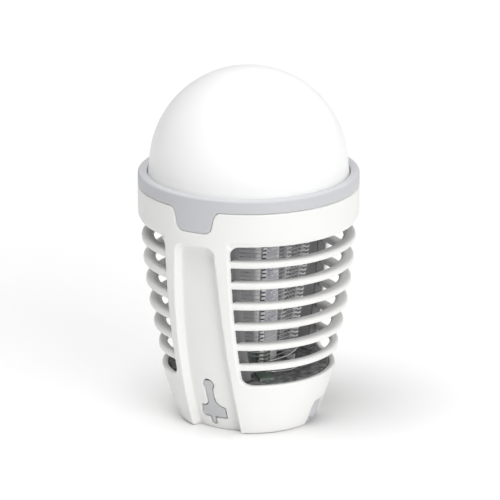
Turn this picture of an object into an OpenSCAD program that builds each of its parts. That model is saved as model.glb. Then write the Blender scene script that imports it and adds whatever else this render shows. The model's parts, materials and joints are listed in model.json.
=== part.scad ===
// Portable lantern with an insect-killing grid: an opal dome over a tapered, slatted cage.
// Origin at the bottom centre, +Z up. The two grip columns stand at -Y and +Y, the windows face -X and +X.

/* [Overall] */
// Outer diameter of the trim ring and of the straight top of the cage
ring_d = 86; // [84:0.5:88]
// Height of the top of the dome above the floor
total_h = 140; // [139:0.5:142]
// Radius of the arc that the cage tapers along
flare_r = 245; // [240:5:260]
// Height at which the taper starts
flare_z = 88; // [86:1:90]
// Wall thickness of the cage
wall = 2.4; // [2.2:0.1:2.6]

/* [Windows and slats] */
// Lower edge of both windows
window_low = 21.8; // [21.4:0.1:22.4]
// Upper edge of both windows
window_high = 80.3; // [80:0.1:80.6]
// Corner radius of the windows
window_corner = 3.5; // [2:0.5:4]
// Half the width of a grip column
column_half = 14; // [13.5:0.25:14.5]
// Number of slats in each window
slats = 6; // [6]
// Height of the middle of the highest slat
slat_first = 72.9; // [72.7:0.1:73.1]
// Distance between the middles of two slats
slat_pitch = 8.66; // [8.64:0.01:8.68]
// Thickness of a slat
slat_t = 2.9; // [2.7:0.1:3]
// Radial depth of a slat
slat_depth = 4.8; // [4.5:0.1:4.9]
// Radial depth of the lowest slat, which the base has to pass
low_slat_depth = 3.4; // [3.2:0.1:3.4]
// How far a slat lies inside the outline of the cage
slat_inset = 0.95; // [0.8:0.05:1]

/* [Grip recess and release] */
// Depth of the recess in a column
recess_depth = 4; // [3.6:0.1:4.2]
// Upper end of the recess
recess_top = 80; // [78:0.5:80]
// Half the width of the recess at its upper end
recess_half_top = 9; // [8.5:0.1:9.5]
// Half the width of the recess at the rim
recess_half_low = 11.6; // [11:0.1:12]
// Gap round a release pad
release_gap = 0.25; // [0.25:0.05:0.4]

/* [Trim ring and dome] */
// Top of the cage, where the trim ring sits
band_top = 93.9; // [93.6:0.1:94]
// Top of the trim ring
ring_top = 99.2; // [99:0.1:99.4]
// Lower end of the two tabs of the ring
tab_low = 85.2; // [85:0.1:86]
// Thickness of a tab
tab_t = 1.45; // [1.3:0.05:1.5]
// Radius of the dome
dome_r = 38.6; // [38.4:0.1:38.7]
// Wall thickness of the dome
dome_t = 1.8; // [1.6:0.1:2]

/* [Shock grid] */
// Comb posts round the core
combs = 6; // [6]
// Radius of the comb posts at their lower end
comb_r_low = 18.4; // [18:0.1:19]
// Radius of the comb posts at their upper end
comb_r_high = 25.3; // [24.5:0.1:25.6]
// Height of the lower end of the comb posts
comb_low = 23.6; // [23.6]
// Height of the upper end of the comb posts
comb_high = 79.2; // [79.2]
// Width of a comb post
comb_w = 1.6; // [1.4:0.1:2]
// Distance between two turns of wire
wire_pitch = 1.9; // [1.8:0.1:2.2]
// Thickness of the wire
wire_t = 0.6; // [0.5:0.1:0.7]

/* [Core and lamps] */
// Side of the core post at its lower end
core_low_w = 17; // [16:0.5:17.5]
// Side of the core post at its upper end
core_high_w = 19; // [18:0.5:20]
// Ultraviolet lamps on each side
uv_lamps = 4; // [3:1:5]
// White lamps in the ring under the dome
white_lamps = 12; // [8:1:12]

/* [Base] */
// Underside of the base cup
base_low = 0.8; // [0.6:0.1:1]
// Upper face of the floor of the base cup
floor_top = 4.4; // [4.4]
// Lower face of the deck that closes the base
deck_low = 20; // [20]
// Upper face of the deck
deck_top = 22; // [22]
// Direction of the charging port, from +X towards +Y
port_angle = 12; // [8:1:16]

/* [Hidden] */
$fn = 96;

far = 70;
eps = 0.01;
ring_r = ring_d / 2;
clear = 0.35;
level_step = 8;
rim_round = 1.6;
slat_round = 0.8;
chamfer_in = 1.1;
chamfer_steep = 2.1;
column_wall = recess_depth + wall;
column_top = 83.5;
column_step = 21;
column_core = 11.8;
module_inset = wall + clear;
column_inset = column_wall + clear + 0.05;
cup_wall = 1.8;

recess_tilt = atan((body_r(recess_top) - body_r(0)) / recess_top);
recess_draft = 0.245;
recess_corner = 3.5;
bulge = 1.6;
pad_top = 21.4;
pad_foot = 1;
pad_back = 0.15;
pad_left = -6.5;
pad_right = 4.3;
pad_bar_low = 5;
pad_bar_top = 10;
pad_neck_left = -3.1;
pad_neck_right = 0.4;
pad_flare = pad_right - pad_neck_right;
pad_mid = (pad_left + pad_right) / 2;
pad_pin_r = 0.7;
pad_pin_z = 6.4;
pad_pin_in = 5.6;
pad_pin_half = 5.85;

notch_w = 14.6;
notch_top = 9.8;
notch_round = 1.5;
boss_r = 27.3;
flap_in = 26.1;
knuckle_r = 0.5;
flap_hinge_z = 2.3;
flap_high = 8.9;

seat_gap = 0.05;
ring_low = band_top + seat_gap;
skirt_out = 40.3;
skirt_in = 38.9;
skirt_low = 88.5;
pocket_r = 39.5;
pocket_low = 96.6;
ring_round = 0.8;
tab_half = 8.9;
tab_corner = 3;
tab_foot = 4.6;
tab_fillet = 2;
tab_gap = 0.12;

dome_z = total_h - dome_r;
dome_foot_r = 39.3;
dome_foot_z = 97.2;
head_low = 81.2;
head_floor = 2;
head_r = 35.7;
head_in = 34.2;
head_top = 96.4;
head_flange_r = 38.6;
battery_r = 9.2;
battery_l = 65;
battery_z = head_low + head_floor + 0.3 + battery_r;
board_z = 102.6;
board_t = 1.2;
board_r = 34;
post_x = 24;
post_y = 15;
lamp_ring_r = 23;

grid_low = 26;
turns = floor((77 - grid_low) / wire_pitch) + 1;
comb_turn = -45;
comb_depth = 2.8;
foot_out = 19.6;
foot_in = 14;
strut_t = 1.6;
strut_half = 13.85;
channel_half = column_core + clear;
comb_tilt = atan((comb_r_high - comb_r_low) / (comb_high - comb_low));
core_round = 2;
core_face_tilt = atan((core_high_w - core_low_w) / 2 / (comb_high - deck_top));
uv_board_w = 8;
uv_board_l = 44;
uv_board_low = 33;
lamp_w = 5;
lead_wire = 0.4;
lead_joint = 1.1;
deck_lead_z = 22.9;
board_lead_z = 23.75;

pcb_z = 7.8;
pcb_t = 1.6;
pcb_r = 18;
pcb_posts = [40, 160, 300];
screw_r = 1.25;
screw_at = 21;
screw_angles = [36, 144, 216, 324];
button_r = 3.5;
button_x = 4.7;
hook_z = 2.3;
hook_wire = 1;
hook_r = 12;
hook_y = 2;
hinge_y = 11;
pin_l = 2.2;
tongue_t = 1.6;
bead_r = 0.95;
bead_half = 2;
bead_z = 5.9;
groove = 1.4;
arm_groove = 1.6;

function body_r(z) =
    z >= flare_z ? ring_r : ring_r - flare_r + sqrt(pow(flare_r, 2) - pow(flare_z - z, 2));
function between(low, high) =
    [for (k = [0:12]) if (k * level_step > low + 0.5 && k * level_step < high - 0.5) k * level_step];
function levels(low, high) = concat([low], between(low, high), [high]);
function reversed(list) = [for (i = [len(list) - 1:-1:0]) list[i]];
function polar(r, a, z) = [r * cos(a), r * sin(a), z];
function comb_r(z) = comb_r_low + (z - comb_low) * tan(comb_tilt);
function core_half(z) =
    (core_low_w + (core_high_w - core_low_w) * (z - deck_top) / (comb_high - deck_top)) / 2;

// Solid of revolution that follows the cage's outline, a distance inside it
module body_solid(inset, low, high) {
    rotate_extrude()
        polygon(concat([[0, low]], [for (z = levels(low, high)) [body_r(z) - inset, z]], [[0, high]]));
}

// Ring of the given thickness just inside the outline, with a rounded lower rim
module cage_wall(thickness, high) {
    rim = [for (a = [-90:15:0])
        [body_r(rim_round) - rim_round + rim_round * cos(a), rim_round + rim_round * sin(a)]];
    outside = [for (z = concat(between(rim_round, high), [high])) [body_r(z), z]];
    inside = [for (z = levels(0, high)) [body_r(z) - thickness, z]];
    rotate_extrude() polygon(concat(rim, outside, reversed(inside)));
}

// Flat outline in X and Z, standing upright and running outwards from y = -10
module upright() {
    translate([0, -10, 0])
        rotate([90, 0, 0])
            linear_extrude(far) children();
}

// Rectangle with round corners, from its lower left corner
module round_rect(w, h, r) {
    translate([r, 0]) square([w - 2 * r, h]);
    translate([0, r]) square([w, h - 2 * r]);
    for (x = [r, w - r], y = [r, h - r])
        translate([x, y]) circle(r, $fn = 32);
}

// Cylinder between two heights
module drum(r, low, high) {
    translate([0, 0, low]) cylinder(r = r, h = high - low);
}

// Window opening, from a column's side outwards over all of Y
module window_cutter() {
    translate([0, far, 0])
        rotate([90, 0, 0])
            linear_extrude(2 * far)
                translate([column_half, window_low])
                    round_rect(far, window_high - window_low, window_corner);
}

// Slope on the lower edge of the band over both windows
module band_chamfer() {
    difference() {
        rotate_extrude()
            polygon([[ring_r - chamfer_in - 0.2, window_high - 0.2 * chamfer_steep],
                     [ring_r + 1, window_high + (chamfer_in + 1) * chamfer_steep],
                     [ring_r + 1, window_high - 0.2 * chamfer_steep]]);
        translate([-column_half, -far, 0]) cube([2 * column_half, 2 * far, total_h]);
    }
}

// One thin plate of the recess's tapered cutter, out is its distance from the chord of the cage's side
module recess_plate(out) {
    grow = (out - bulge) * recess_draft;
    top = recess_top / cos(recess_tilt) + grow;
    translate([0, -body_r(0) - out, 0])
        rotate([recess_tilt + 90, 0, 0]) {
            for (s = [-1, 1])
                translate([s * (recess_half_top + grow - recess_corner), top - recess_corner, 0])
                    cylinder(r = recess_corner, h = eps, $fn = 32);
            translate([-recess_half_low - grow, -4, 0])
                cube([2 * (recess_half_low + grow), eps, eps]);
        }
}

module recess_cutter() {
    difference() {
        hull() {
            recess_plate(5);
            recess_plate(-8);
        }
        body_solid(recess_depth, -1, column_top + 3);
    }
}

// Outline of a release pad: a round head on a neck that flares into a wide foot
module release_outline() {
    translate([-1.4, 19.6]) circle(2.4);
    translate([pad_neck_left, pad_bar_top - 0.5]) square([pad_neck_right - pad_neck_left, 10]);
    translate([pad_left, pad_bar_low]) square([pad_right - pad_left, pad_bar_top - pad_bar_low]);
    translate([pad_neck_right, pad_bar_top])
        difference() {
            translate([-eps, -eps]) square(pad_flare + eps);
            translate([pad_flare, pad_flare]) circle(pad_flare);
        }
    translate([pad_neck_left - 2, pad_bar_top])
        difference() {
            translate([0, -eps]) square([2 + eps, 2 + eps]);
            translate([0, 2]) circle(2);
        }
}

// Short slot below the foot of the release opening
module release_stub() {
    translate([-3, 1.9]) square([2.4, 3.6]);
}

// Outline of a tab of the trim ring, up to the given height
module tab_outline(grow, high) {
    low_arc = [for (a = [-90:15:-15])
        [tab_foot + (tab_corner + grow) * cos(a), tab_low + tab_corner + (tab_corner + grow) * sin(a)]];
    side = concat(low_arc, [[tab_half + grow, ring_low], [tab_half + grow, high]]);
    polygon(concat(side, [for (p = reversed(side)) [-p[0], p[1]]]));
    for (s = [0, 1])
        mirror([s, 0])
            translate([tab_half - 0.5, ring_low - tab_fillet])
                difference() {
                    square([tab_fillet + 0.5, tab_fillet + high - ring_low]);
                    translate([tab_fillet + 0.5, 0]) circle(tab_fillet - grow, $fn = 48);
                }
}

// Charging-port notch in the rim, seen from outside
module notch_outline() {
    translate([-notch_w / 2, -1]) square([notch_w, notch_top - notch_round + 1]);
    translate([-notch_w / 2 + notch_round, 0]) square([notch_w - 2 * notch_round, notch_top]);
    for (s = [-1, 1])
        translate([s * (notch_w / 2 - notch_round), notch_top - notch_round])
            circle(notch_round, $fn = 32);
}

// Places its children radially at the charging port, with local X outwards
module at_port() {
    rotate(port_angle) children();
}

module cage_shell() {
    color("whitesmoke")
        difference() {
            union() {
                difference() {
                    cage_wall(wall, band_top);
                    window_cutter();
                    mirror([1, 0, 0]) window_cutter();
                    band_chamfer();
                }
                intersection() {
                    cage_wall(column_wall, column_top);
                    union() {
                        translate([-column_half, -far, -1])
                            cube([2 * column_half, 2 * far, column_step + 1]);
                        translate([-column_core, -far, -1])
                            cube([2 * column_core, 2 * far, total_h]);
                    }
                }
            }
            for (turn = [0, 180])
                rotate(turn) {
                    recess_cutter();
                    upright() {
                        release_outline();
                        release_stub();
                    }
                    pad_pin(pad_pin_r + 0.05, pad_pin_half + 0.1);
                    difference() {
                        upright() tab_outline(tab_gap, band_top + 1);
                        drum(ring_r - tab_t - 0.15, 0, total_h);
                    }
                }
            at_port()
                translate([15, 0, 0])
                    rotate([90, 0, 90])
                        linear_extrude(20) notch_outline();
        }
}

// Ring slat number i from the top, cut into two arcs that end on the columns' sides
module guard_slat(i) {
    z = slat_first - slat_pitch * (i - 1);
    depth = i == slats ? low_slat_depth : slat_depth;
    color("white")
        difference() {
            translate([0, 0, z])
                rotate_extrude()
                    translate([body_r(z) - slat_inset - depth, -slat_t / 2])
                        round_rect(depth, slat_t, slat_round);
            translate([-column_half, -far, z - slat_t])
                cube([2 * column_half, 2 * far, 2 * slat_t]);
        }
}

// Pin across the foot of a release pad
module pad_pin(r, half) {
    translate([pad_mid - half, pad_pin_in - body_r(pad_pin_z), pad_pin_z])
        rotate([0, 90, 0]) cylinder(r = r, h = 2 * half);
}

// Push pad that fills the release opening and the slot below it, and swings in about its pin
module release_pad() {
    color("silver") {
        intersection() {
            difference() {
                body_solid(recess_depth + pad_back, pad_foot, 30);
                body_solid(column_wall + 0.1, 0, 31);
            }
            upright()
                intersection() {
                    offset(delta = -release_gap) {
                        release_outline();
                        release_stub();
                    }
                    translate([-far, 0]) square([2 * far, pad_top]);
                }
        }
        pad_pin(pad_pin_r, pad_pin_half);
    }
}

module dome_diffuser() {
    color("white")
        difference() {
            union() {
                intersection() {
                    translate([0, 0, dome_z]) sphere(dome_r, $fn = 144);
                    drum(far, dome_z, total_h + 1);
                }
                translate([0, 0, dome_foot_z])
                    cylinder(r1 = dome_foot_r, r2 = dome_r, h = dome_z - dome_foot_z, $fn = 144);
            }
            translate([0, 0, dome_z]) sphere(dome_r - dome_t, $fn = 144);
            drum(dome_r - dome_t, dome_foot_z - 1, dome_z);
        }
}

module dome_seal() {
    color("dimgray")
        difference() {
            drum(head_flange_r, head_top, dome_foot_z);
            drum(dome_r - dome_t + 0.2, head_top - 1, dome_foot_z + 1);
        }
}

module trim_ring() {
    top_arc = [for (a = [0:15:90])
        [ring_r - ring_round + ring_round * cos(a), ring_top - ring_round + ring_round * sin(a)]];
    color("lightgray") {
        rotate_extrude()
            polygon(concat(
                [[skirt_in, skirt_low], [skirt_out, skirt_low], [skirt_out, ring_low], [ring_r, ring_low]],
                top_arc,
                [[pocket_r, ring_top], [pocket_r, pocket_low], [skirt_in, pocket_low]]));
        for (turn = [0, 180])
            rotate(turn)
                intersection() {
                    difference() {
                        upright() tab_outline(0, ring_low + 1);
                        drum(ring_r - tab_t, 0, total_h);
                    }
                    drum(ring_r, 0, total_h);
                }
    }
}

module board_posts(r, low, high) {
    for (x = [-post_x, post_x], y = [-post_y, post_y])
        translate([x, y, 0]) drum(r, low, high);
}

module head_frame() {
    cavity = head_low + head_floor;
    color("gainsboro")
        difference() {
            union() {
                difference() {
                    union() {
                        drum(head_r, head_low, head_top);
                        drum(head_flange_r, head_top - 1.8, head_top);
                    }
                    drum(head_in, cavity, head_top + 1);
                }
                board_posts(2.6, cavity - eps, board_z);
                for (y = [-23, 21])
                    translate([-12, y, cavity - eps]) cube([24, 2, 6]);
            }
            board_posts(1, board_z - 8, board_z + 1);
            translate([0, far / 2, battery_z])
                rotate([90, 0, 0]) cylinder(r = battery_r + 0.2, h = far);
            drum(4, head_low - 1, cavity + 1);
        }
}

module lamp_ring() {
    for (i = [0:white_lamps - 1])
        rotate(i * 360 / white_lamps)
            translate([lamp_ring_r, 0, 0]) children();
    for (turn = [0:90:270])
        rotate(turn + 45)
            translate([10, 0, 0]) children();
}

module reflector_disc() {
    color("white")
        difference() {
            drum(board_r - 0.5, board_z + board_t + 0.1, board_z + board_t + 0.6);
            lamp_ring() drum(2.8, board_z, board_z + 3);
            board_posts(2.6, board_z, board_z + 3);
        }
}

module lantern_board() {
    color("white")
        difference() {
            drum(board_r, board_z, board_z + board_t);
            board_posts(1.2, board_z - 1, board_z + 3);
            drum(2.5, board_z - 1, board_z + 3);
        }
}

module lantern_leds() {
    color("khaki")
        lamp_ring()
            translate([-1.75, -1.4, board_z + board_t]) cube([3.5, 2.8, 0.8]);
}

// Pan-head screw pointing down, head on the given height
module screw(head_z, length) {
    drum(0.95, head_z - length, head_z);
    difference() {
        drum(2, head_z, head_z + 1.3);
        for (turn = [0, 90])
            rotate(turn)
                translate([-1.2, -0.25, head_z + 0.6]) cube([2.4, 0.5, 1]);
    }
}

module board_screws() {
    color("silver")
        for (x = [-post_x, post_x], y = [-post_y, post_y])
            translate([x, y, 0]) screw(board_z + board_t, 7);
}

module battery_cell() {
    color("steelblue")
        translate([0, battery_l / 2, battery_z])
            rotate([90, 0, 0]) {
                cylinder(r = battery_r, h = battery_l - 1);
                cylinder(r = 3, h = battery_l);
            }
}

module battery_tabs() {
    color("silver")
        for (y = [-battery_l / 2 - 0.35, battery_l / 2 + 0.05])
            translate([-4, y, battery_z - 5]) cube([8, 0.3, 10]);
}

// Bundle of insulated leads from the base to the head
module wire_loom() {
    color("dimgray")
        for (turn = [0:90:270])
            rotate(turn)
                translate([0.9, 0, 0]) drum(0.85, pcb_z + pcb_t + 0.2, battery_z - battery_r - 0.1);
}

module core_section(z, h) {
    half = core_half(z);
    translate([0, 0, z])
        for (x = [-1, 1], y = [-1, 1])
            translate([x * (half - core_round), y * (half - core_round), 0])
                cylinder(r = core_round, h = h, $fn = 32);
}

module core_post() {
    color("lightgray")
        difference() {
            hull() {
                core_section(deck_top, eps);
                core_section(comb_high - eps, eps);
            }
            drum(6, deck_top - 1, comb_high + 1);
        }
}

// Places its children on the +X face of the core post, with local X outwards
module on_core_face() {
    translate([core_half(deck_top), 0, deck_top])
        rotate([0, core_face_tilt, 0])
            translate([0, 0, uv_board_low - deck_top]) children();
}

module uv_board() {
    color("gainsboro")
        on_core_face()
            translate([0, -uv_board_w / 2, 0]) cube([1, uv_board_w, uv_board_l]);
}

module uv_leds() {
    spacing = uv_board_l / uv_lamps;
    color("lavender")
        on_core_face()
            for (i = [0:uv_lamps - 1])
                translate([1, -lamp_w / 2, (i + 0.5) * spacing - lamp_w / 2]) {
                    cube([1.2, lamp_w, lamp_w]);
                    translate([1.2, lamp_w / 2, lamp_w / 2])
                        rotate([0, 90, 0]) cylinder(r = 1.9, h = 0.4, $fn = 32);
                }
}

// Turn of wire round the comb posts, its corners over the posts
module wire_turn(k, grow) {
    z = grid_low + k * wire_pitch;
    corner = comb_r(z) + grow;
    inner = comb_r(z) - wire_t / cos(180 / combs) - grow;
    translate([0, 0, z - wire_t / 2 - grow])
        linear_extrude(wire_t + 2 * grow)
            difference() {
                rotate(comb_turn) circle(corner, $fn = combs);
                rotate(comb_turn) circle(inner, $fn = combs);
            }
}

// Leaning post on one corner of the grid, notched for every turn of wire
module comb_post(i) {
    length = (comb_high - comb_low) / cos(comb_tilt);
    color("whitesmoke")
        difference() {
            intersection() {
                rotate(comb_turn + 360 / combs * i)
                    translate([comb_r_low, 0, comb_low])
                        rotate([0, comb_tilt, 0])
                            translate([-comb_depth, -comb_w / 2, -1])
                                cube([comb_depth, comb_w, length + 2]);
                drum(far, comb_low, comb_high);
            }
            for (k = [0:turns - 1]) wire_turn(k, 0.1);
        }
}

module live_grid() {
    color("silver")
        for (k = [0:2:turns - 1]) wire_turn(k, 0);
}

module earth_grid() {
    color("gray")
        for (k = [1:2:turns - 1]) wire_turn(k, 0);
}

module grid_top_plate() {
    color("gainsboro")
        difference() {
            drum(28.5, comb_high, head_low);
            drum(6, comb_high - 1, head_low + 1);
        }
}

// Channel round the back of a column that joins the base to the head
module side_strut() {
    color("gray")
        intersection() {
            difference() {
                body_solid(module_inset, deck_top, head_low);
                body_solid(column_inset + strut_t, deck_top - 1, head_low + 1);
                difference() {
                    translate([-channel_half, -far, 0]) cube([2 * channel_half, far, total_h]);
                    body_solid(column_inset, 0, total_h + 1);
                }
            }
            translate([-strut_half, -far, 0]) cube([2 * strut_half, far, total_h]);
        }
}

// Low ring on the deck that the comb posts stand on
module grid_foot_ring() {
    color("gainsboro")
        difference() {
            drum(foot_out, deck_top, comb_low);
            drum(foot_in, deck_top - 1, comb_low + 1);
        }
}

// Bare wire along a list of points, with a small crimped block at each end and bend
module lead(points) {
    for (i = [0:len(points) - 2]) {
        way = points[i + 1] - points[i];
        translate(points[i])
            rotate([0, acos(way[2] / norm(way)), atan2(way[1], way[0])])
                cylinder(r = lead_wire, h = norm(way));
    }
    for (point = points)
        translate(point) cube(lead_joint, center = true);
}

// One lead from the terminal board to the next comb post, and one that runs low over the deck
module grid_leads() {
    color("silver") {
        lead([polar(16.4, -35, 26.95), polar(19.9, -37, 26.95), polar(19.3, 10.6, 28.5)]);
        lead([polar(22, -42, board_lead_z), polar(23.4, -36, board_lead_z),
              polar(22.5, 6, deck_lead_z), polar(21, 9, deck_top + lead_joint / 2)]);
    }
}

module terminal_board() {
    color("seagreen")
        rotate(comb_turn) {
            translate([14, -2.6, comb_low]) cube([1.2, 7.2, 6]);
            translate([19.9, -3, deck_top]) cube([8.6, 6, 1.2]);
        }
}

// Outline of the base: round, with a flat cut back behind each column
module base_solid(extra, low, high) {
    difference() {
        body_solid(module_inset + extra, low, high);
        difference() {
            translate([-column_half - 0.4 - extra, -far, low - 1])
                cube([2 * (column_half + 0.4 + extra), 2 * far, high - low + 2]);
            body_solid(column_inset + extra, low - 2, high + 2);
        }
    }
}

module at_screws() {
    for (a = screw_angles)
        rotate(a)
            translate([screw_at, 0, 0]) children();
}

module base_deck() {
    color("lightgray")
        difference() {
            union() {
                base_solid(0, deck_low, deck_top);
                at_screws() drum(2.4, deck_low - 5, deck_low + eps);
            }
            drum(3, deck_low - 1, deck_top + 1);
            at_screws() drum(screw_r + 0.05, deck_low - 6, deck_low + 0.8);
            for (turn = [0, 180])
                rotate(turn)
                    translate([-5.2, -far, deck_low - 1]) cube([8, far - 25.2, 4]);
        }
}

// Room for the folded hook in the underside
module hook_groove() {
    top = hook_z + groove;
    translate([0, hook_y, 0])
        difference() {
            drum(hook_r + groove, 0, top);
            drum(hook_r - groove, -1, top + 1);
            translate([-far, 0, -1]) cube([2 * far, far, far]);
        }
    for (s = [-1, 1])
        translate([s * hook_r - arm_groove, hook_y - eps, 0])
            cube([2 * arm_groove, hinge_y - hook_y + arm_groove, top]);
    translate([-4, hook_y - hook_r - 4, 0]) cube([8, 4, top]);
}

module base_cup() {
    color("lightgray")
        difference() {
            union() {
                difference() {
                    base_solid(0, base_low, deck_low);
                    base_solid(cup_wall, floor_top, deck_low + 1);
                }
                at_screws() drum(2.4, floor_top - eps, deck_low - 5);
                for (a = pcb_posts)
                    rotate(a) translate([14, 0, 0]) drum(1.6, floor_top - eps, pcb_z);
                at_port()
                    intersection() {
                        translate([23, -notch_w / 2 + 0.4, base_low])
                            cube([8, notch_w - 0.8, notch_top - 0.4 - base_low]);
                        drum(boss_r, 0, 12);
                        body_solid(0.5, 0, 12);
                    }
            }
            at_screws() {
                drum(screw_r + 0.15, 0, deck_low);
                drum(2.5, 0, 2.9);
            }
            for (turn = [0, 180])
                rotate(turn)
                    translate([-6.4, -far, floor_top + 0.2]) cube([12.8, far - 14, deck_low]);
            hook_groove();
            translate([-hook_r - pin_l - 0.4, hinge_y, hook_z])
                rotate([0, 90, 0]) cylinder(r = hook_wire + 0.05, h = 2 * (hook_r + pin_l + 0.4));
            for (s = [-1, 1])
                translate([s * button_x, 0, 0]) drum(button_r + 0.3, 0, floor_top + 1);
            at_port() {
                translate([25.7, -6.1, flap_hinge_z - knuckle_r - 0.4]) cube([6, 12.2, 10]);
                translate([18, -4.8, 4.4]) cube([10, 9.6, 3.6]);
            }
        }
}

module base_screws() {
    color("silver")
        at_screws() {
            drum(screw_r, 2.6, deck_low);
            difference() {
                drum(2.3, 1.3, 2.9 - eps);
                for (turn = [0, 90])
                    rotate(turn)
                        translate([-1.4, -0.3, 1]) cube([2.8, 0.6, 1]);
            }
        }
}

// Springy tongue right behind a release pad, with a bead at its foot
module snap_tongue() {
    color("lightgray") {
        intersection() {
            difference() {
                body_solid(column_inset, 4, 20);
                body_solid(column_inset + tongue_t, 3, 21);
            }
            translate([-6, -far, floor_top + 0.5]) cube([12, far - 10, 14.6]);
        }
        translate([-bead_half, column_inset + tongue_t / 2 - body_r(bead_z), bead_z])
            rotate([0, 90, 0]) cylinder(r = bead_r, h = 2 * bead_half);
    }
}

module main_board() {
    color("seagreen")
        difference() {
            union() {
                rotate(180) drum(pcb_r, pcb_z, pcb_z + pcb_t);
                at_port() translate([0, -5, pcb_z]) cube([22.8, 10, pcb_t]);
            }
            for (a = pcb_posts)
                rotate(a) translate([14, 0, 0]) drum(0.8, pcb_z - 1, pcb_z + pcb_t + 1);
        }
}

module button_switches() {
    color("darkslategray")
        for (s = [-1, 1])
            translate([s * button_x - 3, -3, pcb_z - 1.9]) cube([6, 6, 1.9]);
}

module hv_transformer() {
    color("goldenrod")
        translate([-15, -7, pcb_z + pcb_t]) {
            cube([11, 14, 1]);
            translate([1, 2, 1]) cube([9, 10, 6.5]);
            translate([0, 0, 7.5]) cube([11, 14, 1]);
        }
}

module hv_capacitor() {
    color("firebrick")
        for (y = [-11, 4])
            translate([5, y, pcb_z + pcb_t]) cube([5, 7, 8]);
}

module usb_socket() {
    color("silver")
        at_port()
            translate([18.5, -4.5, pcb_z - 3.2])
                difference() {
                    cube([6.9, 9, 3.2]);
                    translate([2, 0.4, 0.4]) cube([6, 8.2, 2.4]);
                }
}

// Rubber flap over the charging port, with a round knuckle at the middle of its lower edge
module port_cover() {
    $fn = 360;
    color("darkgray")
        at_port() {
            intersection() {
                translate([flap_in, -5.8, flap_hinge_z]) cube([4, 11.6, flap_high - flap_hinge_z]);
                drum(boss_r - 0.1, 0, 12);
                body_solid(0.6, 0, 12);
            }
            translate([flap_in + knuckle_r, 3.4, flap_hinge_z])
                rotate([90, 0, 0]) cylinder(r = knuckle_r, h = 6.8, $fn = 48);
        }
}

module push_button(s) {
    color("dimgray")
        translate([s * button_x, 0, 0]) {
            drum(button_r, 1, floor_top + 0.2);
            drum(button_r + 0.8, floor_top + 0.2, floor_top + 1);
        }
}

module hanging_hook() {
    color("silver")
        translate([0, 0, hook_z]) {
            translate([0, hook_y, 0])
                rotate(180)
                    rotate_extrude(angle = 180)
                        translate([hook_r, 0]) circle(hook_wire, $fn = 32);
            for (s = [-1, 1])
                translate([s * hook_r, hook_y, 0]) {
                    rotate([-90, 0, 0]) cylinder(r = hook_wire, h = hinge_y - hook_y, $fn = 32);
                    translate([0, hinge_y - hook_y, 0]) {
                        sphere(hook_wire, $fn = 32);
                        rotate([0, s * 90, 0]) cylinder(r = hook_wire, h = pin_l, $fn = 32);
                    }
                }
        }
}

cage_shell();
for (i = [1:6])
    guard_slat(i);
release_pad();  // release_pad_front
rotate(180) release_pad();  // release_pad_rear
dome_diffuser();
dome_seal();
trim_ring();
head_frame();
reflector_disc();
lantern_board();
lantern_leds();
board_screws();
battery_cell();
battery_tabs();
wire_loom();
side_strut();  // side_strut_front
rotate(180) side_strut();  // side_strut_rear
core_post();
uv_board();  // uv_board_right
rotate(180) uv_board();  // uv_board_left
uv_leds();  // uv_leds_right
rotate(180) uv_leds();  // uv_leds_left
for (i = [1:6])
    comb_post(i - 1);
grid_top_plate();
grid_foot_ring();
live_grid();
earth_grid();
grid_leads();
terminal_board();
base_deck();
base_cup();
base_screws();
snap_tongue();  // snap_tongue_front
rotate(180) snap_tongue();  // snap_tongue_rear
main_board();
button_switches();
hv_transformer();
hv_capacitor();
usb_socket();
port_cover();
push_button(-1);  // lantern_button
push_button(1);  // zapper_button
hanging_hook();
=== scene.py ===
"""Looks of the electric bug zapper lantern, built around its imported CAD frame. Z up.

The object's sizes are in millimetres, and MM turns them into the frame's metres. The camera's distance
and the floor are in metres."""

import json
import math

import bpy
import numpy as np
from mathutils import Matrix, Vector


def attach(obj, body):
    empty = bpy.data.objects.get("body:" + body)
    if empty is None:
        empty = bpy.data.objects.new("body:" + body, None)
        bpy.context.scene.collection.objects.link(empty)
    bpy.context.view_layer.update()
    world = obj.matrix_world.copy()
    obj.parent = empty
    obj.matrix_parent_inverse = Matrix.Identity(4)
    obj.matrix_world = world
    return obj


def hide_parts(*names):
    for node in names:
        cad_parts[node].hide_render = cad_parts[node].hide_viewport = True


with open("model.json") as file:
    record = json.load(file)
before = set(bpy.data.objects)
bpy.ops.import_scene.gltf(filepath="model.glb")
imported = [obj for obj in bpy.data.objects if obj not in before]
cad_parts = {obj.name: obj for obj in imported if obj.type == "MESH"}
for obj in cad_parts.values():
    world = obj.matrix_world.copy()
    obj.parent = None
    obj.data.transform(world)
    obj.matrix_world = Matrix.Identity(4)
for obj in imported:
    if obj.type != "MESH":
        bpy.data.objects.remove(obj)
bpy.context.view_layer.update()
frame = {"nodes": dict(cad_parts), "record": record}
nodes = frame["nodes"]
scene = bpy.context.scene
MM = 0.001

# ------------------------------------------------------------------ camera
VIEW_TURN, VIEW_UP, VIEW_FAR = math.radians(30), math.radians(17.3), 3.0
LENS, SENSOR = 556, 36
AIM_RIGHT, AIM_HIGH = 0.5, 66.5


def way_to(turn, up):
    """Unit vector towards a viewer or a light, turned from the front and raised by angles in radians."""
    return Vector((math.sin(turn) * math.cos(up), -math.cos(turn) * math.cos(up), math.sin(up)))


aim = Vector((AIM_RIGHT * math.cos(VIEW_TURN), AIM_RIGHT * math.sin(VIEW_TURN), AIM_HIGH)) * MM
towards = way_to(VIEW_TURN, VIEW_UP)
camera_data = bpy.data.cameras.new("camera")
camera_data.sensor_width = SENSOR
camera_data.lens = LENS
camera_data.clip_end = 30
camera = bpy.data.objects.new("camera", camera_data)
camera.location = aim + towards * VIEW_FAR
camera.rotation_euler = (-towards).to_track_quat("-Z", "Y").to_euler()
scene.collection.objects.link(camera)
scene.camera = camera

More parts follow.
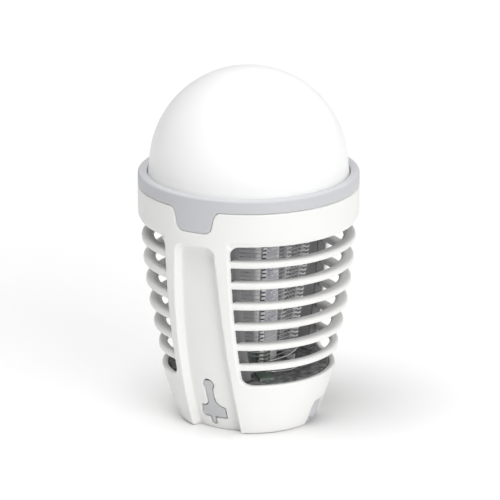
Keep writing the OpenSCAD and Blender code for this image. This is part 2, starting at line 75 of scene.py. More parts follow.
# ------------------------------------------------------------------ outline shared with the CAD, in mm
RING_R, FLARE_R, FLARE_Z = 43.0, 245.0, 88.0
WALL, RECESS, CLEAR = 2.4, 4.0, 0.35
TAB_T, TAB_SEAT = 1.45, 1.6


def body_r(z):
    """Outer radius of the cage at height z."""
    z = np.minimum(z, FLARE_Z)
    return RING_R - FLARE_R + np.sqrt(FLARE_R**2 - (FLARE_Z - z) ** 2)


def body_slope(z):
    """How fast that radius grows with height."""
    z = np.minimum(z, FLARE_Z)
    return (FLARE_Z - z) / np.sqrt(FLARE_R**2 - (FLARE_Z - z) ** 2)


# ------------------------------------------------------------------ mesh helpers
def link(name, mesh):
    obj = bpy.data.objects.new(name, mesh)
    scene.collection.objects.link(obj)
    return obj


def mesh_of(name, points, faces):
    """A smooth-shaded mesh from points in millimetres."""
    mesh = bpy.data.meshes.new(name)
    mesh.from_pydata([tuple(p) for p in np.asarray(points, float) * MM], [], [tuple(f) for f in faces])
    mesh.polygons.foreach_set("use_smooth", [True] * len(mesh.polygons))
    mesh.update()
    return mesh


def applied(obj):
    """The object's mesh with its modifiers applied."""
    graph = bpy.context.evaluated_depsgraph_get()
    mesh = bpy.data.meshes.new_from_object(obj.evaluated_get(graph), depsgraph=graph)
    obj.modifiers.clear()
    obj.data = mesh
    return mesh


def coords(mesh):
    out = np.empty(len(mesh.vertices) * 3)
    mesh.vertices.foreach_get("co", out)
    return out.reshape(-1, 3)


def normals(mesh):
    out = np.empty(len(mesh.vertices) * 3)
    mesh.vertex_normals.foreach_get("vector", out)
    return out.reshape(-1, 3)


def sharp_by_angle(mesh, degrees):
    mesh.set_sharp_from_angle(angle=math.radians(degrees))


def finish_piece(obj, body, material, replaced=()):
    obj.data.materials.clear()
    obj.data.materials.append(material)
    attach(obj, body)
    if replaced:
        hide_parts(*replaced)


WELD_GAP = 0.002


def moulded(node, voxel, rounds, limit, surfaces):
    """A copy of a CAD node with the small rounded edges of a moulding, of about limit triangles at most.

    It is rebuilt from cells of the voxel size in millimetres, then smoothed by a number of rounds.
    surfaces lists the node's round surfaces, as distances inside the cage's outline or, negative, as plain
    radii. Points beside one of them go exactly onto it."""
    mesh = nodes[node].data.copy()
    obj = link(node + "_moulded", mesh)
    weld = obj.modifiers.new("weld", "WELD")
    weld.merge_threshold = WELD_GAP * MM
    mesh = applied(obj)
    mesh.vertices.foreach_set("co", (coords(mesh) / MM).ravel())
    remesh = obj.modifiers.new("remesh", "REMESH")
    remesh.mode = "VOXEL"
    remesh.voxel_size = voxel
    smooth = obj.modifiers.new("smooth", "SMOOTH")
    smooth.factor = 0.5
    smooth.iterations = rounds
    mesh = applied(obj)
    settle(mesh, surfaces)
    mesh.calc_loop_triangles()
    if len(mesh.loop_triangles) > limit:
        thin = obj.modifiers.new("thin", "DECIMATE")
        thin.ratio = limit / len(mesh.loop_triangles)
        mesh = applied(obj)
    bend = settle(mesh, surfaces)
    mesh.vertices.foreach_set("co", (coords(mesh) * MM).ravel())
    mesh.polygons.foreach_set("use_smooth", [True] * len(mesh.polygons))
    mesh.update()
    mesh.normals_split_custom_set_from_vertices([tuple(n) for n in bend])
    return obj


SNAP_REACH, SNAP_FADE = 0.13, 0.06
FACING_FROM, FACING_FADE = 0.985, 0.01


def settle(mesh, surfaces):
    """Moves the points of a mesh in millimetres onto the exact round surfaces that they lie beside.

    Returns the normals that go with the points."""
    mesh.update()
    at, facing = coords(mesh), normals(mesh)
    radius = np.hypot(at[:, 0], at[:, 1])
    out = np.stack([at[:, 0], at[:, 1], np.zeros(len(at))], 1) / np.maximum(radius, 1e-6)[:, None]
    for inside in surfaces:
        if inside >= 0:
            target, slope = body_r(at[:, 2]) - inside, body_slope(at[:, 2])
        else:
            target, slope = np.full(len(at), -float(inside)), np.zeros(len(at))
        ideal = out.copy()
        ideal[:, 2] = -slope
        ideal /= np.linalg.norm(ideal, axis=1)[:, None]
        along = (facing * ideal).sum(1)
        near = np.clip((SNAP_REACH - np.abs(radius - target)) / SNAP_FADE, 0, 1)
        pull = near * np.clip((np.abs(along) - FACING_FROM) / FACING_FADE, 0, 1)
        at += out * ((target - radius) * pull)[:, None]
        facing = facing * (1 - pull)[:, None] + ideal * (np.sign(along) * pull)[:, None]
    facing /= np.linalg.norm(facing, axis=1)[:, None]
    mesh.vertices.foreach_set("co", at.ravel())
    mesh.update()
    return facing


def lathe(name, profile, turns):
    """Closed solid of revolution from a closed profile of (radius, height) points; radius 0 makes a pole."""
    points, rings = [], []
    for r, z in profile:
        if r < 1e-6:
            rings.append([len(points)] * turns)
            points.append((0, 0, z))
        else:
            rings.append(list(range(len(points), len(points) + turns)))
            for k in range(turns):
                angle = 2 * math.pi * k / turns
                points.append((r * math.cos(angle), r * math.sin(angle), z))
    faces = []
    for a, b in zip(rings, rings[1:]):
        for k in range(turns):
            n = (k + 1) % turns
            face = []
            for v in (a[k], a[n], b[n], b[k]):
                if v not in face:
                    face.append(v)
            if len(face) > 2:
                faces.append(face)
    return mesh_of(name, points, faces)


def tube(path, radius, sides):
    """Points and faces of a round wire along a path, with flat ends."""
    path = np.asarray(path, float)
    ways = np.gradient(path, axis=0)
    ways /= np.linalg.norm(ways, axis=1)[:, None]
    points, faces = [], []
    up = np.array([0.0, 0.0, 1.0])
    for p, way in zip(path, ways):
        side = np.cross(way, up)
        side /= np.linalg.norm(side)
        lift = np.cross(side, way)
        for k in range(sides):
            a = 2 * math.pi * k / sides
            points.append(p + radius * (math.cos(a) * side + math.sin(a) * lift))
    for i in range(len(path) - 1):
        for k in range(sides):
            n = (k + 1) % sides
            a, b = i * sides, (i + 1) * sides
            faces.append((a + k, b + k, b + n, a + n))
    faces.append(tuple(range(sides)))
    last = (len(path) - 1) * sides
    faces.append(tuple(last + k for k in reversed(range(sides))))
    return points, faces


def joined(parts):
    points, faces = [], []
    for p, f in parts:
        base = len(points)
        points += list(p)
        faces += [tuple(v + base for v in face) for face in f]
    return points, faces


# ------------------------------------------------------------------ materials
def graph(name):
    mat = bpy.data.materials.new(name)
    mat.use_nodes = True
    tree = mat.node_tree
    return mat, tree, tree.nodes["Principled BSDF"]


def add(tree, kind, settings=None, inputs=None):
    n = tree.nodes.new(kind)
    for key, value in (settings or {}).items():
        setattr(n, key, value)
    for key, value in (inputs or {}).items():
        if isinstance(value, bpy.types.NodeSocket):
            tree.links.new(value, n.inputs[key])
        else:
            n.inputs[key].default_value = value
    return n


def noise_of(tree, place, scale, detail=2.0, stretch=(1, 1, 1)):
    if stretch != (1, 1, 1):
        place = add(tree, "ShaderNodeMapping", inputs={"Vector": place, "Scale": stretch}).outputs["Vector"]
    inputs = {"Vector": place, "Scale": scale, "Detail": detail}
    return add(tree, "ShaderNodeTexNoise", inputs=inputs).outputs["Fac"]


def ranged(tree, value, low, high, to_low, to_high):
    inputs = {"Value": value, "From Min": low, "From Max": high, "To Min": to_low, "To Max": to_high}
    return add(tree, "ShaderNodeMapRange", inputs=inputs).outputs["Result"]


def worked(tree, operation, a, b=0.0):
    return add(tree, "ShaderNodeMath", {"operation": operation}, {0: a, 1: b}).outputs[0]


def mixed(tree, amount, a, b):
    n = add(tree, "ShaderNodeMix", {"data_type": "RGBA"})
    for socket, value in ((n.inputs[0], amount), (n.inputs[6], a), (n.inputs[7], b)):
        if isinstance(value, bpy.types.NodeSocket):
            tree.links.new(value, socket)
        else:
            socket.default_value = value
    return n.outputs[2]


def shade(colour, factor):
    return (*[min(1.0, c * factor) for c in colour], 1.0)


DRIFT_SCALE, GLOSS_SCALE = 55, 320
NOISE_LOW, NOISE_HIGH = 0.3, 0.7
WEAR_FROM, WEAR_TO, WEAR_LIGHT = 0.52, 0.6, 1.25


def surface(name, colour, rough, metallic=0.0, tint=0.03, rough_swing=0.05, grain=4500, grain_depth=0.0025,
            edge=0.0, specular=0.5, stretch=(1, 1, 1), coat=0.0):
    """Moulded or drawn material: slow drift of colour, uneven gloss, fine grain, and edges worn lighter."""
    mat, tree, shader = graph(name)
    place = add(tree, "ShaderNodeTexCoord").outputs["Object"]
    drift = ranged(tree, noise_of(tree, place, DRIFT_SCALE, 3), NOISE_LOW, NOISE_HIGH, 0, 1)
    paint = mixed(tree, drift, shade(colour, 1 - tint), shade(colour, 1 + tint))
    if edge:
        bulge = add(tree, "ShaderNodeNewGeometry").outputs["Pointiness"]
        worn = ranged(tree, bulge, WEAR_FROM, WEAR_TO, 0, edge)
        paint = mixed(tree, worn, paint, shade(colour, WEAR_LIGHT))
    tree.links.new(paint, shader.inputs["Base Color"])
    uneven = noise_of(tree, place, GLOSS_SCALE, 4, stretch)
    gloss = ranged(tree, uneven, NOISE_LOW, NOISE_HIGH, rough - rough_swing, rough + rough_swing)
    tree.links.new(gloss, shader.inputs["Roughness"])
    bump = add(tree, "ShaderNodeBump", inputs={
        "Strength": 0.6, "Distance": grain_depth * MM, "Height": noise_of(tree, place, grain, 2, stretch)})
    tree.links.new(bump.outputs["Normal"], shader.inputs["Normal"])
    shader.inputs["Metallic"].default_value = metallic
    shader.inputs["Specular IOR Level"].default_value = specular
    shader.inputs["Coat Weight"].default_value = coat
    return mat, tree, shader, place, paint


PAD_SHARE = 0.16
TINNED = (0.62, 0.6, 0.55, 1.0)


def board(name, mask, trace, pitch):
    """Circuit board: solder mask with a faint net of traces and tinned pads."""
    mat, tree, shader, place, paint = surface(name, mask, 0.38, tint=0.08, grain_depth=0.004)
    scale = 1 / (pitch * MM)
    fine = add(tree, "ShaderNodeTexBrick", {"offset": 0.37, "squash": 1.6}, {
        "Vector": place, "Scale": scale, "Mortar Size": 0.03, "Mortar Smooth": 0.1,
        "Color1": (0, 0, 0, 1), "Color2": (0.35, 0.35, 0.35, 1), "Mortar": (1, 1, 1, 1)})
    cells = add(tree, "ShaderNodeTexVoronoi", {"feature": "F1"}, {
        "Vector": place, "Scale": scale, "Randomness": 0.6})
    pads = worked(tree, "LESS_THAN", cells.outputs["Distance"], PAD_SHARE)
    traced = mixed(tree, fine.outputs["Color"], paint, (*trace, 1.0))
    padded = mixed(tree, pads, traced, TINNED)
    tree.links.new(padded, shader.inputs["Base Color"])
    return mat


def banded(name, colour, dark, rough, pitch, axis):
    """Wound tape: fine bands across one axis."""
    mat, tree, shader, place, paint = surface(name, colour, rough, tint=0.05, coat=0.2)
    kind = {"wave_type": "BANDS", "bands_direction": axis, "wave_profile": "SAW"}
    wave = add(tree, "ShaderNodeTexWave", kind,
               {"Vector": place, "Scale": 1 / (pitch * MM) / math.tau, "Distortion": 0.6, "Detail": 2.0})
    bands = mixed(tree, wave.outputs["Fac"], shade(dark, 1.0), paint)
    tree.links.new(bands, shader.inputs["Base Color"])
    return mat


# Painted reflections of the grid wires on the dark frame: size and spread of their patches.
PATCH_SCALE, PATCH_LOW, PATCH_HIGH = 420, 0.38, 0.66


def mottled(name, colour, light):
    """Rough plastic with patches about 2 mm across, from darker to lighter: painted reflections of the grid
    wires.
    """
    mat, tree, shader, place, _ = surface(
        name, colour, 0.5, tint=0.08, grain=2600, grain_depth=0.006, edge=0.3)
    patches = ranged(tree, noise_of(tree, place, PATCH_SCALE, 5), PATCH_LOW, PATCH_HIGH, 0, 1)
    marked = mixed(tree, patches, shade(colour, 1 - light), shade(colour, 1 + light))
    tree.links.new(marked, shader.inputs["Base Color"])
    return mat


# Painted shade of the combs: black in their notches.
SHADE_BLACK = (0.03, 0.03, 0.03, 1.0)
COMB_PLASTIC = (0.84, 0.83, 0.84)
# Painted shade towards the combs' foot: its full share below FOOT_LOW mm, none above FOOT_HIGH mm.
FOOT_LOW, FOOT_HIGH, FOOT_SHADE = 29, 35, 0.4
# Painted shade on the struts' side faces beside the windows: its colour, the band of side faces it covers,
# and how the front strut's shade fades away from the cage's wall.
STRUT_PALE, STRUT_SHADE = (0.44, 0.44, 0.45), (0.13, 0.13, 0.135, 1.0)
SIDE_FROM, SIDE_TO = 13.2, 13.6
EDGE_DEEP, EDGE_NEAR, EDGE_LEAST = 8.2, 4.5, 0.6
# Painted glow: a trace of light given off by the dome, though no lamp in it is lit.
DOME_GLOW = 0.02


def notched_material():
    """The combs' plastic, with painted shade: dark inside the notches and a little darker towards the foot.
    """
    mat, tree, shader, place, paint = surface("comb_notched", COMB_PLASTIC, 0.45, tint=0.03, edge=0.2)
    notch_shade = add(tree, "ShaderNodeAttribute", {"attribute_name": "notch_shade"}).outputs["Fac"]
    high = add(tree, "ShaderNodeSeparateXYZ", inputs={0: place}).outputs["Z"]
    foot = mixed(tree, ranged(tree, high, FOOT_LOW * MM, FOOT_HIGH * MM, FOOT_SHADE, 0), paint, SHADE_BLACK)
    tree.links.new(mixed(tree, notch_shade, foot, SHADE_BLACK), shader.inputs["Base Color"])
    return mat


def strut_material():
    """Pale, but painted dark as shade on the side faces that stand beside the windows. The front strut's
    sides fade from that painted shade to a lighter grey away from the cage's wall."""
    mat, tree, shader, place, paint = surface(
        "strut_grey", STRUT_PALE, 0.5, tint=0.05, grain=2600, grain_depth=0.006, edge=0.2)
    apart = add(tree, "ShaderNodeSeparateXYZ", inputs={0: place}).outputs
    outer = ranged(tree, worked(tree, "ABSOLUTE", apart["X"]), SIDE_FROM * MM, SIDE_TO * MM, 0, 1)
    below = worked(tree, "SUBTRACT", FLARE_Z * MM, apart["Z"])
    inset = worked(tree, "MULTIPLY", worked(tree, "POWER", below, 2.0), 0.5 / (FLARE_R * MM))
    flat = add(tree, "ShaderNodeCombineXYZ", inputs={0: apart["X"], 1: apart["Y"]}).outputs[0]
    radius = add(tree, "ShaderNodeVectorMath", {"operation": "LENGTH"}, {0: flat}).outputs["Value"]
    depth = worked(tree, "ADD", radius, inset)
    edge = ranged(tree, depth, (RING_R - EDGE_DEEP) * MM, (RING_R - EDGE_NEAR) * MM, EDGE_LEAST, 1)
    rear = ranged(tree, apart["Y"], -1 * MM, 1 * MM, 0, 1)
    # How much painted shade each point of the strut gets.
    dark = worked(tree, "MULTIPLY", outer, worked(tree, "MAXIMUM", edge, rear))
    tree.links.new(mixed(tree, dark, paint, STRUT_SHADE), shader.inputs["Base Color"])
    return mat


def dome_material():
    """Opal plastic that scatters light, made brighter by a trace of painted glow though no lamp in it is lit.
    """
    mat, _, shader, _, _ = surface(
        "dome_opal", (0.96, 0.96, 0.96), 0.36, tint=0.004, rough_swing=0.03, grain=140, grain_depth=0.004,
        specular=0.2)
    shader.inputs["Subsurface Weight"].default_value = 0.3
    shader.inputs["Subsurface Radius"].default_value = (1.0, 1.0, 1.0)
    shader.inputs["Subsurface Scale"].default_value = 0.003
    shader.inputs["Emission Color"].default_value = (1.0, 1.0, 1.0, 1.0)
    shader.inputs["Emission Strength"].default_value = DOME_GLOW
    return mat


MATERIALS = {
    "shell_white": surface("shell_white", (0.87, 0.868, 0.85), 0.42, tint=0.008, edge=0.25)[0],
    "trim_grey": surface("trim_grey", (0.58, 0.585, 0.605), 0.45, tint=0.012, edge=0.2)[0],
    "pad_grey": surface("pad_grey", (0.56, 0.565, 0.58), 0.5, tint=0.02, edge=0.2)[0],
    "inner_grey": surface("inner_grey", (0.50, 0.50, 0.52), 0.5, tint=0.03, edge=0.2)[0],
    "frame_grey": mottled("frame_grey", (0.21, 0.21, 0.212), 0.55),
    "comb_white": surface("comb_white", COMB_PLASTIC, 0.45, tint=0.03, edge=0.2)[0],
    "circuit_green": board("circuit_green", (0.13, 0.17, 0.14), (0.16, 0.20, 0.17), 1.3),
    "board_white": board("board_white", (0.66, 0.65, 0.69), (0.60, 0.59, 0.63), 1.6),
    "lamp_yellow": surface("lamp_yellow", (0.90, 0.78, 0.30), 0.25, tint=0.05, coat=0.3)[0],
    "lamp_violet": surface("lamp_violet", (0.74, 0.72, 0.82), 0.15, tint=0.04, coat=0.4)[0],
    "grid_wire": surface("grid_wire", (0.66, 0.66, 0.67), 0.3, metallic=1.0, tint=0.05, stretch=(1, 1, 8))[0],
    "fastener": surface("fastener", (0.62, 0.62, 0.63), 0.3, metallic=1.0, tint=0.06)[0],
    "nickel": surface("nickel", (0.75, 0.74, 0.72), 0.18, metallic=1.0, tint=0.03)[0],
    "battery_wrap": surface("battery_wrap", (0.06, 0.19, 0.48), 0.3, tint=0.06, coat=0.3)[0],
    "transformer_tape": banded("transformer_tape", (0.80, 0.60, 0.09), (0.55, 0.38, 0.05), 0.35, 0.9, "Z"),
    "capacitor_red": surface("capacitor_red", (0.58, 0.07, 0.05), 0.28, tint=0.1, coat=0.3)[0],
    "switch_black": surface("switch_black", (0.04, 0.04, 0.042), 0.45, tint=0.1)[0],
    "cable_grey": surface("cable_grey", (0.18, 0.18, 0.19), 0.5, tint=0.08)[0],
    "rubber_grey": surface("rubber_grey", (0.60, 0.60, 0.62), 0.65, tint=0.03, specular=0.3)[0],
    "comb_notched": notched_material(),
    "strut_grey": strut_material(),
    "dome_opal": dome_material(),
    "key_grey": surface("key_grey", (0.26, 0.26, 0.28), 0.62, tint=0.04, specular=0.3)[0],
}

slot_of = {s["node"]: s["material_slot"] for s in frame["record"]["subparts"]}
for node_name, obj in nodes.items():
    obj.data.materials.clear()
    obj.data.materials.append(MATERIALS[slot_of[node_name]])

# ------------------------------------------------------------------ cage
LIMIT = 190000
# Skin, seat of the ring's tabs, inside of the wall, floor of the recess and the back of that floor
CAGE_FACES = (0, TAB_SEAT, WALL, RECESS, RECESS + WALL)
cage = moulded("cage_shell", 0.42, 6, LIMIT, CAGE_FACES)
finish_piece(cage, "cage", MATERIALS["shell_white"], ("cage_shell",))

SLATS, SLAT_FIRST, SLAT_PITCH = 6, 72.9, 8.66
SLAT_T, SLAT_DEPTH, LOW_SLAT_DEPTH, SLAT_INSET = 2.9, 4.8, 3.4, 0.95
COLUMN_HALF = 14.0
FILLET = 0.4
SLAT_SIDES, SLAT_POWER, SLAT_STEPS = 28, 2.9, 80
SLAT_REACH = (-0.4, 0, 0.06, 0.15, 0.28, 0.45, 0.65, 0.9)
SKIN_SHOW, STRUT_CLEAR = 0.25, 0.1
SKIN_SIDE = 0.5


def slat(i):
    """Two arcs of a ring slat, with a section like a flattened oval.

    The part nearest the skin has a small fillet where it runs into the columns, and the rest stops short of
    the struts behind them. Across the section, -1 is the innermost point, 1 the outermost, and SKIN_SIDE is
    where that part begins."""
    z = SLAT_FIRST - SLAT_PITCH * (i - 1)
    depth = LOW_SLAT_DEPTH if i == SLATS else SLAT_DEPTH
    middle = float(body_r(z)) - SLAT_INSET - depth / 2
    outer_limit = float(body_r(z)) - SKIN_SHOW
    sides, power = SLAT_SIDES, 2 / SLAT_POWER
    section = []
    for k in range(sides):
        a = 2 * math.pi * (k + 0.5) / sides
        c, s = math.cos(a), math.sin(a)
        section.append((math.copysign(abs(c) ** power, c), math.copysign(abs(s) ** power, s)))
    ends = [COLUMN_HALF + d for d in SLAT_REACH]
    stations = [("end", x, 1) for x in ends]
    stations += [("arc", t, 1) for t in np.linspace(1, -1, SLAT_STEPS)[1:-1]]
    stations += [("end", x, -1) for x in reversed(ends)]
    points, faces = [], []
    for side in (1, -1):
        base = len(points)
        for kind, value, hand in stations:
            if kind == "end":
                off = value - COLUMN_HALF
                fillet = FILLET - math.sqrt(max(0.0, FILLET**2 - max(0.0, FILLET - max(off, 0.0)) ** 2))
            else:
                fillet = 0.0
            for c, s in section:
                grow = fillet if c > SKIN_SIDE else 0.0
                r = min(middle + c * (depth / 2 + grow), outer_limit)
                h = z + s * (SLAT_T / 2 + grow)
                limit = math.acos(ends[-1] / r)
                inner_end = max(value, COLUMN_HALF - STRUT_CLEAR) if c < SKIN_SIDE else value
                angle = math.acos(inner_end / r) * hand if kind == "end" else limit * value
                points.append((side * r * math.cos(angle), r * math.sin(angle), h))
        count = len(stations)
        for m in range(count - 1):
            for k in range(sides):
                n = (k + 1) % sides
                a, b = base + m * sides, base + (m + 1) * sides
                face = (a + k, a + n, b + n, b + k)
                faces.append(face if side > 0 else tuple(reversed(face)))
        first = tuple(range(base, base + sides))
        last = tuple(range(base + (count - 1) * sides, base + count * sides))
        faces.append(tuple(reversed(first)) if side > 0 else first)
        faces.append(last if side > 0 else tuple(reversed(last)))
    node = "guard_slat_%d" % i
    obj = link(node + "_moulded", mesh_of(node, points, faces))
    sharp_by_angle(obj.data, 60)
    finish_piece(obj, "cage", MATERIALS["shell_white"], (node,))


for number in range(1, SLATS + 1):
    slat(number)

PAD_EASE, PAD_LIMIT = 0.09, 60000
PAD_FACES = (RECESS + 0.15, RECESS + WALL + 0.1)
for side, body in (("front", "release_front"), ("rear", "release_rear")):
    node_name = "release_pad_" + side
    pad = moulded(node_name, 0.14, 3, PAD_LIMIT, PAD_FACES)
    pad.data.vertices.foreach_set("co", (coords(pad.data) - normals(pad.data) * PAD_EASE * MM).ravel())
    finish_piece(pad, body, MATERIALS["pad_grey"], (node_name,))

# ------------------------------------------------------------------ trim ring and dome
SKIRT_OUT, SKIRT_IN, POCKET_R = 40.3, 38.9, 39.5
RING_FACES = (-RING_R, TAB_T - RING_R, -SKIRT_OUT, -POCKET_R, -SKIRT_IN)
ring = moulded("trim_ring", 0.3, 4, LIMIT, RING_FACES)
finish_piece(ring, "lamp_module", MATERIALS["trim_grey"], ("trim_ring",))

DOME_R, DOME_T, DOME_Z, FOOT_R, FOOT_Z = 38.6, 1.8, 101.4, 39.3, 97.2
DOME_TURNS = 192


def dome():
    rise = [math.radians(a) for a in np.linspace(90, 0, 73)]
    outside = [(DOME_R * math.cos(a), DOME_Z + DOME_R * math.sin(a)) for a in rise]
    skirt_top, skirt_low = (DOME_R, DOME_Z), (FOOT_R, FOOT_Z + 0.3)
    skirt = [tuple(a + (b - a) * t for a, b in zip(skirt_top, skirt_low)) for t in (0.25, 0.5, 0.75, 1.0)]
    inner = DOME_R - DOME_T
    foot = [(FOOT_R - 0.12, FOOT_Z + 0.1), (FOOT_R - 0.35, FOOT_Z)]
    foot += [(inner + 0.3, FOOT_Z), (inner, FOOT_Z + 0.3)]
    inside = [(inner * math.cos(a), DOME_Z + inner * math.sin(a)) for a in reversed(rise)]
    outside[0], inside[-1] = (0, outside[0][1]), (0, inside[-1][1])
    mesh = lathe("dome", list(reversed(outside + skirt + foot + inside)), DOME_TURNS)
    obj = link("dome_opal_shell", mesh)
    sharp_by_angle(mesh, 50)
    finish_piece(obj, "lamp_module", MATERIALS["dome_opal"], ("dome_diffuser",))


dome()

# ------------------------------------------------------------------ shock grid
COMBS, COMB_TURN = 6, -45.0
COMB_LOW, COMB_HIGH, COMB_R_LOW, COMB_R_HIGH, COMB_W, COMB_DEPTH = 23.6, 79.2, 18.4, 25.3, 1.6, 2.8
GRID_LOW, GRID_HIGH, GRID_PITCH, WIRE_R, NOTCH = 25.6, 77.2, 1.6, 0.17, 1.25
# Lower half of a notch: distance out from the comb's front, and height from the middle of the notch
HALF_NOTCH = ((0.0, -0.6), (-0.1, -0.5), (-NOTCH + 0.25, -0.42), (-NOTCH, -0.25))
NOTCH_OUTLINE = HALF_NOTCH + tuple((off, -up) for off, up in reversed(HALF_NOTCH))
DEEP_FROM = -0.2
WRAP = 3.2


def comb_r(z):
    return COMB_R_LOW + (z - COMB_LOW) * (COMB_R_HIGH - COMB_R_LOW) / (COMB_HIGH - COMB_LOW)


def comb_notches(i):
    """Heights where a wire crosses comb post i; both windings climb one turn in two pitches."""
    start = GRID_LOW + 2 * GRID_PITCH * i / COMBS
    start -= GRID_PITCH * math.floor((start - GRID_LOW) / GRID_PITCH)
    return np.arange(start, GRID_HIGH, GRID_PITCH)


def comb(i):
    """Leaning post with a row of rounded teeth that hold the wires apart."""
    front = [(0.0, COMB_LOW)]
    for z in comb_notches(i):
        front += [(off, z + up) for off, up in NOTCH_OUTLINE]
    front.append((0.0, COMB_HIGH))
    front = [p for p in front if COMB_LOW <= p[1] <= COMB_HIGH]
    back = [(-COMB_DEPTH, z) for _, z in front]
    count = len(front)
    turn = math.radians(COMB_TURN + 360 / COMBS * i)
    points, faces = [], []
    for across in (-COMB_W / 2, COMB_W / 2):
        for off, z in front + back:
            r = comb_r(z) + off
            x = r * math.cos(turn) - across * math.sin(turn)
            y = r * math.sin(turn) + across * math.cos(turn)
            points.append((x, y, z))
    other = 2 * count
    for k in range(count - 1):
        faces.append((k, k + 1, count + k + 1, count + k))
        faces.append((other + k, other + count + k, other + count + k + 1, other + k + 1))
        faces.append((k, other + k, other + k + 1, k + 1))
        faces.append((count + k, count + k + 1, other + count + k + 1, other + count + k))
    faces.append((0, count, other + count, other))
    faces.append((count - 1, other + count - 1, other + 2 * count - 1, 2 * count - 1))
    node = "comb_post_%d" % (i + 1)
    obj = link(node + "_toothed", mesh_of(node, points, faces))
    # Painted shade: marks the points deep in each notch, which the comb's material paints black.
    notch_shade = obj.data.attributes.new("notch_shade", "FLOAT", "POINT")
    notch_shade.data.foreach_set("value", ([float(off < DEEP_FROM) for off, _ in front] + [0.0] * len(back)) * 2)
    bevel = obj.modifiers.new("bevel", "BEVEL")
    bevel.width = 0.1 * MM
    bevel.segments = 2
    bevel.limit_method = "ANGLE"
    bevel.angle_limit = math.radians(50)
    applied(obj)
    sharp_by_angle(obj.data, 40)
    finish_piece(obj, "lamp_module", MATERIALS["comb_notched"], (node,))


for number in range(COMBS):
    comb(number)


def winding(name, start, node):
    """One wire wound round the six combs without a break, drawn tight between them.

    It bends round each comb over WRAP degrees to either side."""
    path = []
    steps = int((GRID_HIGH - start) / (2 * GRID_PITCH) * COMBS)
    for k in range(steps + 1):
        z = start + 2 * GRID_PITCH * k / COMBS
        r = comb_r(z) - NOTCH + WIRE_R
        for swing in (-WRAP, -WRAP / 2, 0.0, WRAP / 2, WRAP):
            a = math.radians(COMB_TURN + 360 / COMBS * k + swing)
            lift = 2 * GRID_PITCH * swing / 360
            path.append((r * math.cos(a), r * math.sin(a), z + lift))
    points, faces = tube(path, WIRE_R, 8)
    obj = link(name, mesh_of(name, points, faces))
    sharp_by_angle(obj.data, 50)
    finish_piece(obj, "lamp_module", MATERIALS["grid_wire"], (node,))


winding("live_winding", GRID_LOW, "live_grid")
winding("earth_winding", GRID_LOW + GRID_PITCH, "earth_grid")


def polar(r, degrees, z):
    return np.array([r * math.cos(math.radians(degrees)), r * math.sin(math.radians(degrees)), z])


def bent(points, bend):
    """A path through points, in millimetres, with every corner rounded."""
    path = [points[0]]
    for before, corner, after in zip(points, points[1:], points[2:]):
        a = corner + (before - corner) * min(bend / np.linalg.norm(before - corner), 0.45)
        b = corner + (after - corner) * min(bend / np.linalg.norm(after - corner), 0.45)
        path += [(1 - t) ** 2 * a + 2 * t * (1 - t) * corner + t**2 * b for t in np.linspace(0, 1, 7)]
    path.append(points[-1])
    return path


LEAD_R, LEAD_BEND = 0.3, 1.6
LEADS = (
    [polar(15.2, -35, 26.95), polar(19.7, -36.5, 26.95), polar(19.9, -10, 27.6), polar(19.7, 15, 28.5)],
    [polar(22.0, -42, 23.2), polar(22.2, -40.5, 23.9), polar(23.4, -35, 23.7), polar(23.0, -15, 22.9),
     polar(22.5, 4, 22.9), polar(21.2, 9, 22.2)],
)
lead_points, lead_faces = joined([tube(bent(points, LEAD_BEND), LEAD_R, 12) for points in LEADS])
leads = link("bent_leads", mesh_of("bent_leads", lead_points, lead_faces))
sharp_by_angle(leads.data, 50)
finish_piece(leads, "lamp_module", MATERIALS["grid_wire"], ("grid_leads",))

# Voxel, smoothing rounds, body and round surfaces of the other mouldings
SOFT_LIMIT = 120000
BASE_FACES = (WALL + CLEAR,)
SOFT_PARTS = {
    "base_cup": (0.3, 3, "lamp_module", BASE_FACES),
    "base_deck": (0.3, 3, "lamp_module", BASE_FACES),
    "lantern_button": (0.1, 4, "lantern_key", ()),
    "zapper_button": (0.1, 4, "zapper_key", ()),
    "port_cover": (0.1, 4, "port_flap", ()),
    "core_post": (0.3, 3, "lamp_module", ()),
    "grid_foot_ring": (0.25, 2, "lamp_module", ()),
    "grid_top_plate": (0.3, 2, "lamp_module", ()),
    "side_strut_front": (0.25, 2, "lamp_module", ()),
    "side_strut_rear": (0.25, 2, "lamp_module", ()),
}
for node_name, (voxel, rounds, body, faces) in SOFT_PARTS.items():
    soft = moulded(node_name, voxel, rounds, SOFT_LIMIT, faces)
    finish_piece(soft, body, MATERIALS[slot_of[node_name]], (node_name,))

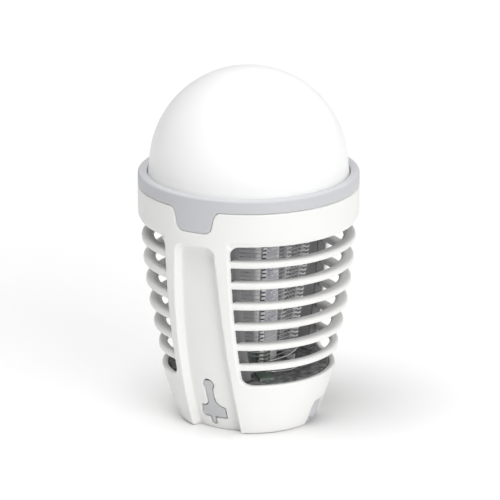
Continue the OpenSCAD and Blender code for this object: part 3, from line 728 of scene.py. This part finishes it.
# ------------------------------------------------------------------ floor, light
floor_mat, floor_tree, floor_shader, floor_place, floor_paint = surface(
    "floor_white", (0.95, 0.95, 0.95), 0.7, tint=0.002, grain=900, grain_depth=0.003, specular=0.15)
SWEEP_NEAR, SWEEP_FAR, SWEEP_GREY = 0.75, 1.3, (0.3, 0.3, 0.3, 1.0)
away = add(floor_tree, "ShaderNodeVectorMath", {"operation": "LENGTH"}, {0: floor_place}).outputs["Value"]
dimming = ranged(floor_tree, away, SWEEP_NEAR, SWEEP_FAR, 0, 1)
swept = mixed(floor_tree, dimming, floor_paint, SWEEP_GREY)
floor_tree.links.new(swept, floor_shader.inputs["Base Color"])
FLOOR = 4.0
corners = [(x * FLOOR, y * FLOOR, 0) for x, y in ((-1, -1), (1, -1), (1, 1), (-1, 1))]
floor_mesh = bpy.data.meshes.new("floor")
floor_mesh.from_pydata(corners, [], [(0, 1, 2, 3)])
floor_mesh.materials.append(floor_mat)
floor = link("floor", floor_mesh)

world = bpy.data.worlds.new("world")
scene.world = world
world.use_nodes = True
sky = world.node_tree
DIM_SIDE, BRIGHT_SIDE = 0.03, 0.63
bright_way = (math.cos(VIEW_TURN), math.sin(VIEW_TURN), 0)
facing = add(sky, "ShaderNodeVectorMath", {"operation": "DOT_PRODUCT"},
             {0: add(sky, "ShaderNodeTexCoord").outputs["Generated"], 1: bright_way})
level = ranged(sky, facing.outputs["Value"], -1, 1, DIM_SIDE, BRIGHT_SIDE)
sky.links.new(level, sky.nodes["Background"].inputs["Strength"])
sky.nodes["Background"].inputs["Color"].default_value = (1.0, 1.0, 1.0, 1.0)


def sunlight(name, turn, up, spread, strength):
    """Soft distant light; turn and up are measured like the camera's."""
    data = bpy.data.lights.new(name, "SUN")
    data.angle = math.radians(spread)
    data.energy = strength
    way = way_to(math.radians(turn), math.radians(up))
    obj = bpy.data.objects.new(name, data)
    obj.rotation_euler = (-way).to_track_quat("-Z", "Y").to_euler()
    scene.collection.objects.link(obj)


sunlight("key", 62, 20, 40, 0.36 * math.pi)
sunlight("top", -21, 76, 45, 0.68 * math.pi)

scene.view_settings.view_transform = "Standard"
scene.view_settings.look = "None"
scene.view_settings.exposure = 0.0
scene.view_settings.gamma = 1.0
